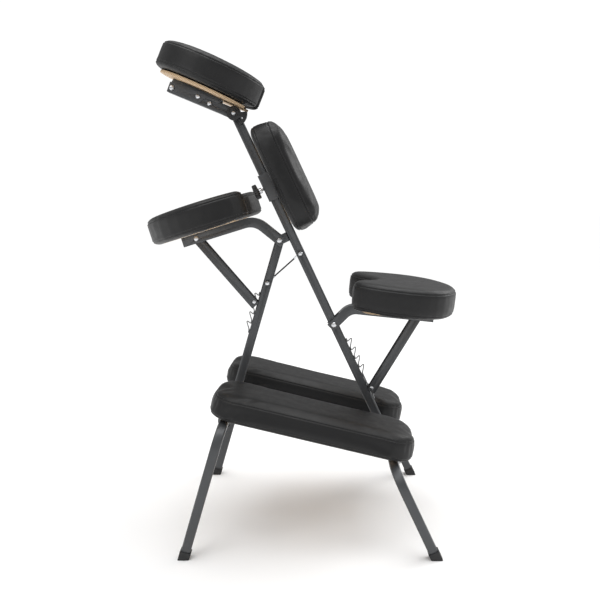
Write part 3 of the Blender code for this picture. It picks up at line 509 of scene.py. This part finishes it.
def seam_loops(piece, height):
    """Cut the cover along one level and return the closed lines of points there, longest first."""
    shape = bmesh.new()
    shape.from_mesh(piece.data)
    for level in (height - 0.0024, height - 0.0010, height, height + 0.0010, height + 0.0024):
        bmesh.ops.bisect_plane(shape, geom=shape.verts[:] + shape.edges[:] + shape.faces[:],
                               dist=0.00001, plane_co=(0.0, 0.0, level), plane_no=(0, 0, 1))
    shape.verts.ensure_lookup_table()
    ring = [e for e in shape.edges if all(abs(v.co.z - height) < 0.00002 for v in e.verts)]
    linked = {}
    for edge in ring:
        for vertex in edge.verts:
            linked.setdefault(vertex, []).append(edge.other_vert(vertex))
    loops, left = [], set(linked)
    while left:
        start = here = min(left, key=lambda v: (v.co.x, v.co.y))
        loop = []
        while here is not None:
            left.discard(here)
            loop.append(here.co.copy())
            here = next((v for v in linked[here] if v in left), None)
        if (loop[0] - start.co).length < 1e-6 and len(loop) > 40:
            loops.append(loop)
    shape.to_mesh(piece.data)
    shape.free()
    return sorted(loops, key=len, reverse=True)


def sunk_seam(piece, height, depth):
    """Draw the cover in along a sewn line, between two low welts."""
    mesh = piece.data
    mesh.update()
    for vertex, normal in zip(mesh.vertices, [n.vector.copy() for n in mesh.vertex_normals]):
        away = abs(vertex.co.z - height)
        if away < 0.006 and abs(normal.z) < 0.93:
            groove = math.exp(-(away / 0.0011) ** 2)
            welt = math.exp(-((away - 0.0030) / 0.0013) ** 2)
            vertex.co += normal * (0.3 * welt - groove) * depth
    mesh.update()


def spaced(loop, pitch):
    """Points and directions at an even pitch along a closed line."""
    ends = loop[1:] + loop[:1]
    lengths = [(b - a).length for a, b in zip(loop, ends)]
    total = sum(lengths)
    count = int(total / pitch)
    index, travelled = 0, 0.0
    result = []
    for number in range(count):
        target = total * number / count
        while travelled + lengths[index] < target:
            travelled += lengths[index]
            index += 1
        share = (target - travelled) / max(lengths[index], 1e-9)
        result.append((loop[index].lerp(ends[index], share),
                       (ends[index] - loop[index]).normalized()))
    return result


def stitch_shape():
    """One stitch: a short thread with its ends dipped into the cover, along local X."""
    bpy.ops.mesh.primitive_cylinder_add(vertices=6, radius=THREAD, depth=0.0036,
                                        rotation=(0.0, math.pi / 2, 0.0))
    only(bpy.context.object)
    bpy.ops.object.transform_apply(location=False, rotation=True, scale=False)
    stitch = bpy.context.object
    stitch.name = "stitch"
    bpy.ops.object.mode_set(mode="EDIT")
    bpy.ops.mesh.select_all(action="SELECT")
    bpy.ops.mesh.bisect(plane_co=(0.0009, 0, 0), plane_no=(1, 0, 0))
    bpy.ops.mesh.select_all(action="SELECT")
    bpy.ops.mesh.bisect(plane_co=(-0.0009, 0, 0), plane_no=(1, 0, 0))
    bpy.ops.object.mode_set(mode="OBJECT")
    for vertex in stitch.data.vertices:
        if abs(vertex.co.x) > 0.0015:
            vertex.co.z -= 0.00045
    return stitch


def sewn(piece, loop, height, name):
    """Two rows of stitches, one on each side of a seam."""
    surface = BVHTree.FromObject(piece, bpy.context.evaluated_depsgraph_get())
    rows = bmesh.new()
    for along, way in spaced(loop, 0.0052):
        for side in (-1.0, 1.0):
            spot = surface.find_nearest(along + Vector((0.0, 0.0, side * 0.0032)))
            out = spot[1]
            tangent = (way - out * way.dot(out)).normalized()
            frame_here = Matrix((tangent, out.cross(tangent), out)).transposed().to_4x4()
            count = len(rows.verts)
            rows.from_mesh(STITCH.data)
            rows.verts.ensure_lookup_table()
            bmesh.ops.transform(rows, verts=rows.verts[count:],
                                matrix=Matrix.Translation(spot[0] + out * 0.0001) @ frame_here)
    mesh = bpy.data.meshes.new(name)
    rows.to_mesh(mesh)
    rows.free()
    stitches = bpy.data.objects.new(name, mesh)
    bpy.context.scene.collection.objects.link(stitches)
    return stitches


def upholstered(node, slope, name, swell, seams, **cover):
    """A padded cover with its sewn seams; seams are (height above the board, depth) pairs."""
    piece, own = foam_cover(node, slope, name, swell, **cover)
    threads = []
    for number, (height, depth) in enumerate(seams):
        loops = seam_loops(piece, height)
        sunk_seam(piece, height, depth)
        for turn, loop in enumerate(loops[:1]):
            threads.append(sewn(piece, loop, height, f"{name}_stitches_{number}_{turn}"))
    smooth(piece, 60)
    for part in [piece, *threads]:
        part.data.transform(own)
    place(piece, LEATHER, body_of[node], "upholstery", node)
    for row in threads:
        smooth(row, 60)
        place(row, THREAD_BLACK, body_of[node], "upholstery")


STITCH = stitch_shape()


def pads():
    for side in ("left", "right"):
        upholstered(f"knee_{side}_pad", KNEE_SLOPE, f"knee_{side}_cover", 0.006,
                    ((0.0505, 0.0011), (0.0095, 0.0009)))
    upholstered("chest_pad", CHEST_SLOPE, "chest_cover", 0.008, ((0.0480, 0.0011), (0.0110, 0.0009)))
    upholstered("arm_pad", ARM_SLOPE, "arm_cover", 0.008, ((0.0560, 0.0011), (0.0100, 0.0009)))
    upholstered("seat_pad", SEAT_SLOPE, "seat_cover", 0.009, ((0.0630, 0.0011), (0.0110, 0.0009)))
    upholstered("face_pad", FACE_SLOPE, "face_cover", 0.006, ((0.0580, 0.0011), (0.0120, 0.0009)))
    bpy.data.objects.remove(STITCH)


# ---------------------------------------------------------------- camera, light and floor
def studio():
    eye = Vector((0.0498, -1.790, 0.847))
    turn, pitch = -0.0042, math.radians(8.61)
    aim = Vector((math.sin(turn) * math.cos(pitch), math.cos(turn) * math.cos(pitch),
                  -math.sin(pitch)))
    camera = bpy.data.objects.new("camera", bpy.data.cameras.new("camera"))
    camera.data.lens = 42.0
    camera.data.shift_x = -0.0367
    camera.location = eye
    camera.rotation_euler = aim.to_track_quat("-Z", "Y").to_euler()
    bpy.context.scene.collection.objects.link(camera)
    bpy.context.scene.camera = camera

    bpy.ops.mesh.primitive_plane_add(size=60.0, location=(0.0, 0.0, 0.0))
    floor = bpy.context.object
    floor.name = "floor"
    paper = Finish("white_paper", (0.93, 0.93, 0.93), 0.9, specular=0.1)
    floor.data.materials.append(paper.material)

    sky = bpy.data.lights.new("overhead", "SUN")
    sky.energy = 2.15
    sky.angle = math.radians(55.0)
    overhead = bpy.data.objects.new("overhead", sky)
    overhead.rotation_euler = (math.radians(-4.0), math.radians(4.0), 0.0)
    bpy.context.scene.collection.objects.link(overhead)

    for name, where, size, power in (("key", (-1.6, -2.2, 3.2), 2.2, 34.0),
                                     ("rim", (2.2, 1.6, 2.2), 1.8, 30.0)):
        data = bpy.data.lights.new(name, "AREA")
        data.size = size
        data.energy = power
        lamp = bpy.data.objects.new(name, data)
        lamp.location = where
        lamp.rotation_euler = (Vector((0.0, 0.0, 0.6)) - Vector(where)).to_track_quat(
            "-Z", "Y").to_euler()
        bpy.context.scene.collection.objects.link(lamp)

    world = bpy.data.worlds.new("white_room")
    world.use_nodes = True
    tree = world.node_tree
    background = tree.nodes["Background"]
    path = tree.nodes.new("ShaderNodeLightPath")
    strength = tree.nodes.new("ShaderNodeMapRange")
    strength.inputs["To Min"].default_value = 0.44
    strength.inputs["To Max"].default_value = 1.05
    tree.links.new(path.outputs["Is Camera Ray"], strength.inputs["Value"])
    tree.links.new(strength.outputs["Result"], background.inputs["Strength"])
    background.inputs["Color"].default_value = (1.0, 1.0, 1.0, 1.0)
    bpy.context.scene.world = world
    bpy.context.scene.view_settings.view_transform = "Standard"


bpy.ops.object.select_all(action="DESELECT")
studio()
frame_pieces()
welds()
stay_cable()
pads()
